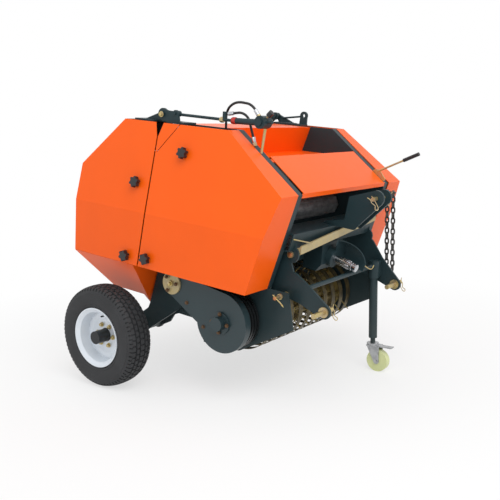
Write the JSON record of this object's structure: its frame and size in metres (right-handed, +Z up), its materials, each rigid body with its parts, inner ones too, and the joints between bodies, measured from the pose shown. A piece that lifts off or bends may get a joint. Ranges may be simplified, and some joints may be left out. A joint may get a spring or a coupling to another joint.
{
  "type": "round baler",
  "caption": "Small three-point round baler with fixed-chamber rollers, a lifting tailgate, a tined pick-up, two road wheels and a front jack on a caster.",
  "frame": {"origin": "on the ground, centred under the bounding box, with the machine parked on its wheels and jack", "axes": "+X to the left side of the machine, +Y to the rear (tailgate), +Z up; the hitch faces -Y"},
  "size_m": [1.38, 1.4216, 1.3272],
  "materials": {
    "black_plastic": "matte",
    "bright_steel": "polished",
    "caster_steel": "galvanised",
    "caster_wheel": "matte",
    "dark_steel": "satin",
    "hose": "matte",
    "orange": "gloss",
    "ram_paint": "gloss",
    "rim_paint": "satin",
    "roller_steel": "worn",
    "tyre": "matte",
    "zinc": "yellow zinc"
  },
  "bodies": {
    "frame": {"axle": "dark_steel", "bearing_cover": "zinc", "chain_case": "dark_steel", "control_lever": "zinc", "corner_panels": "orange", "cross_beams": "dark_steel", "cross_tube": "dark_steel", "front_beam": "dark_steel", "front_covers": "orange", "front_knobs": "black_plastic", "front_panel": "orange", "gearbox": "dark_steel", "handles": "black_plastic", "hinge_lugs": "dark_steel", "hitch_plates": "dark_steel", "hoses": "hose", "jack_sleeve": "dark_steel", "lock_bar": "zinc", "lower_pins": "zinc", "mast": "dark_steel", "pickup_rails": "zinc", "pickup_shields": "dark_steel", "pto_guard": "dark_steel", "ram_brackets": "dark_steel", "safety_chain": "dark_steel", "side_plates": "dark_steel", "stripper_bands": "zinc", "top_pin": "zinc", "top_valve": "dark_steel", "twine_box": "orange"},
    "wheel_right": {"tyre_right": "tyre", "rim_right": "rim_paint"},
    "wheel_left": {"tyre_left": "tyre", "rim_left": "rim_paint"},
    "tailgate": {"tail_covers": "orange", "tail_plates": "dark_steel", "tail_skirts": "orange", "tail_beams": "dark_steel", "tail_lugs": "dark_steel", "tail_knobs": "black_plastic"},
    "ram_barrel_right": {"ram_barrel_right": "ram_paint"},
    "ram_rod_right": {"ram_rod_right": "bright_steel"},
    "ram_barrel_left": {"ram_barrel_left": "ram_paint"},
    "ram_rod_left": {"ram_rod_left": "bright_steel"},
    "pto_shaft": {"pto_shaft": "bright_steel"},
    "front_roller_1": {"front_roller_1": "roller_steel"},
    "front_roller_2": {"front_roller_2": "roller_steel"},
    "front_roller_3": {"front_roller_3": "roller_steel"},
    "front_roller_4": {"front_roller_4": "roller_steel"},
    "front_roller_5": {"front_roller_5": "roller_steel"},
    "tail_roller_1": {"tail_roller_1": "roller_steel"},
    "tail_roller_2": {"tail_roller_2": "roller_steel"},
    "tail_roller_3": {"tail_roller_3": "roller_steel"},
    "tail_roller_4": {"tail_roller_4": "roller_steel"},
    "tail_roller_5": {"tail_roller_5": "roller_steel"},
    "tail_roller_6": {"tail_roller_6": "roller_steel"},
    "pickup_reel": {"pickup_reel": "zinc"},
    "jack_leg": {"jack_leg": "dark_steel"},
    "caster_fork": {"caster_fork": "caster_steel"},
    "caster_wheel": {"caster_wheel": "caster_wheel"}
  },
  "joints": [
    {"name": "wheel_right", "type": "hinge", "parent": "frame", "child": "wheel_right", "pos_m": [0, 0.46388, 0.246], "axis": [1, 0, 0], "continuous": true},
    {"name": "wheel_left", "type": "hinge", "parent": "frame", "child": "wheel_left", "pos_m": [0, 0.46388, 0.246], "axis": [1, 0, 0], "continuous": true},
    {"name": "tailgate_lift", "type": "hinge", "parent": "frame", "child": "tailgate", "pos_m": [0, 0.1848, 1.28452], "axis": [1, 0, 0], "range_deg": [0, 55]},
    {"name": "ram_swing_right", "type": "hinge", "parent": "frame", "child": "ram_barrel_right", "pos_m": [-0.44, -0.21314, 1.09086], "axis": [1, 0, 0], "range_deg": [0, 14.2]},
    {"name": "ram_stroke_right", "type": "slide", "parent": "ram_barrel_right", "child": "ram_rod_right", "axis": [0, 0.999, 0.0448], "range_m": [0, 0.1225]},
    {"name": "ram_swing_left", "type": "hinge", "parent": "frame", "child": "ram_barrel_left", "pos_m": [0.44, -0.21314, 1.09086], "axis": [1, 0, 0], "range_deg": [0, 14.2]},
    {"name": "ram_stroke_left", "type": "slide", "parent": "ram_barrel_left", "child": "ram_rod_left", "axis": [0, 0.999, 0.0448], "range_m": [0, 0.1225]},
    {"name": "pto_turn", "type": "hinge", "parent": "frame", "child": "pto_shaft", "pos_m": [0, -0.55758, 0.57], "axis": [0, -0.9511, -0.309], "continuous": true},
    {"name": "front_roller_1_turn", "type": "hinge", "parent": "frame", "child": "front_roller_1", "pos_m": [0, 0.02029, 1.15535], "axis": [1, 0, 0], "continuous": true},
    {"name": "front_roller_2_turn", "type": "hinge", "parent": "frame", "child": "front_roller_2", "pos_m": [0, -0.13448, 1.02081], "axis": [1, 0, 0], "continuous": true},
    {"name": "front_roller_3_turn", "type": "hinge", "parent": "frame", "child": "front_roller_3", "pos_m": [0, -0.19444, 0.82469], "axis": [1, 0, 0], "continuous": true},
    {"name": "front_roller_4_turn", "type": "hinge", "parent": "frame", "child": "front_roller_4", "pos_m": [0, -0.15965, 0.66099], "axis": [1, 0, 0], "continuous": true},
    {"name": "front_roller_5_turn", "type": "hinge", "parent": "frame", "child": "front_roller_5", "pos_m": [0, 0.07496, 0.46061], "axis": [1, 0, 0], "continuous": true},
    {"name": "tail_roller_1_turn", "type": "hinge", "parent": "tailgate", "child": "tail_roller_1", "pos_m": [0, 0.22284, 1.18743], "axis": [1, 0, 0], "continuous": true},
    {"name": "tail_roller_2_turn", "type": "hinge", "parent": "tailgate", "child": "tail_roller_2", "pos_m": [0, 0.40138, 1.11529], "axis": [1, 0, 0], "continuous": true},
    {"name": "tail_roller_3_turn", "type": "hinge", "parent": "tailgate", "child": "tail_roller_3", "pos_m": [0, 0.51993, 0.96355], "axis": [1, 0, 0], "continuous": true},
    {"name": "tail_roller_4_turn", "type": "hinge", "parent": "tailgate", "child": "tail_roller_4", "pos_m": [0, 0.54673, 0.77286], "axis": [1, 0, 0], "continuous": true},
    {"name": "tail_roller_5_turn", "type": "hinge", "parent": "tailgate", "child": "tail_roller_5", "pos_m": [0, 0.47459, 0.59432], "axis": [1, 0, 0], "continuous": true},
    {"name": "tail_roller_6_turn", "type": "hinge", "parent": "tailgate", "child": "tail_roller_6", "pos_m": [0, 0.32285, 0.47577], "axis": [1, 0, 0], "continuous": true},
    {"name": "reel_turn", "type": "hinge", "parent": "frame", "child": "pickup_reel", "pos_m": [0, -0.16991, 0.37345], "axis": [1, 0, 0], "continuous": true},
    {"name": "jack_slide", "type": "slide", "parent": "frame", "child": "jack_leg", "axis": [0, 0, 1], "range_m": [0, 0.23]},
    {"name": "caster_swivel", "type": "hinge", "parent": "jack_leg", "child": "caster_fork", "pos_m": [0.283, -0.502, 0.132], "axis": [0, 0, 1], "continuous": true},
    {"name": "caster_roll", "type": "hinge", "parent": "caster_fork", "child": "caster_wheel", "pos_m": [0.283, -0.532, 0.055], "axis": [1, 0, 0], "continuous": true}
  ],
  "couplings": [
    {"joint": "front_roller_1_turn", "follows": "pto_turn", "ratio": -0.4},
    {"joint": "front_roller_2_turn", "follows": "pto_turn", "ratio": -0.4},
    {"joint": "front_roller_3_turn", "follows": "pto_turn", "ratio": -0.4},
    {"joint": "front_roller_4_turn", "follows": "pto_turn", "ratio": -0.4},
    {"joint": "front_roller_5_turn", "follows": "pto_turn", "ratio": -0.4},
    {"joint": "tail_roller_1_turn", "follows": "pto_turn", "ratio": -0.4},
    {"joint": "tail_roller_2_turn", "follows": "pto_turn", "ratio": -0.4},
    {"joint": "tail_roller_3_turn", "follows": "pto_turn", "ratio": -0.4},
    {"joint": "tail_roller_4_turn", "follows": "pto_turn", "ratio": -0.4},
    {"joint": "tail_roller_5_turn", "follows": "pto_turn", "ratio": -0.4},
    {"joint": "tail_roller_6_turn", "follows": "pto_turn", "ratio": -0.4},
    {"joint": "reel_turn", "follows": "pto_turn", "ratio": -0.2},
    {"joint": "ram_swing_right", "follows": "tailgate_lift", "ratio": 0.2575},
    {"joint": "ram_stroke_right", "follows": "tailgate_lift", "m_per_rad": 0.1272},
    {"joint": "ram_swing_left", "follows": "tailgate_lift", "ratio": 0.2575},
    {"joint": "ram_stroke_left", "follows": "tailgate_lift", "m_per_rad": 0.1272}
  ]
}
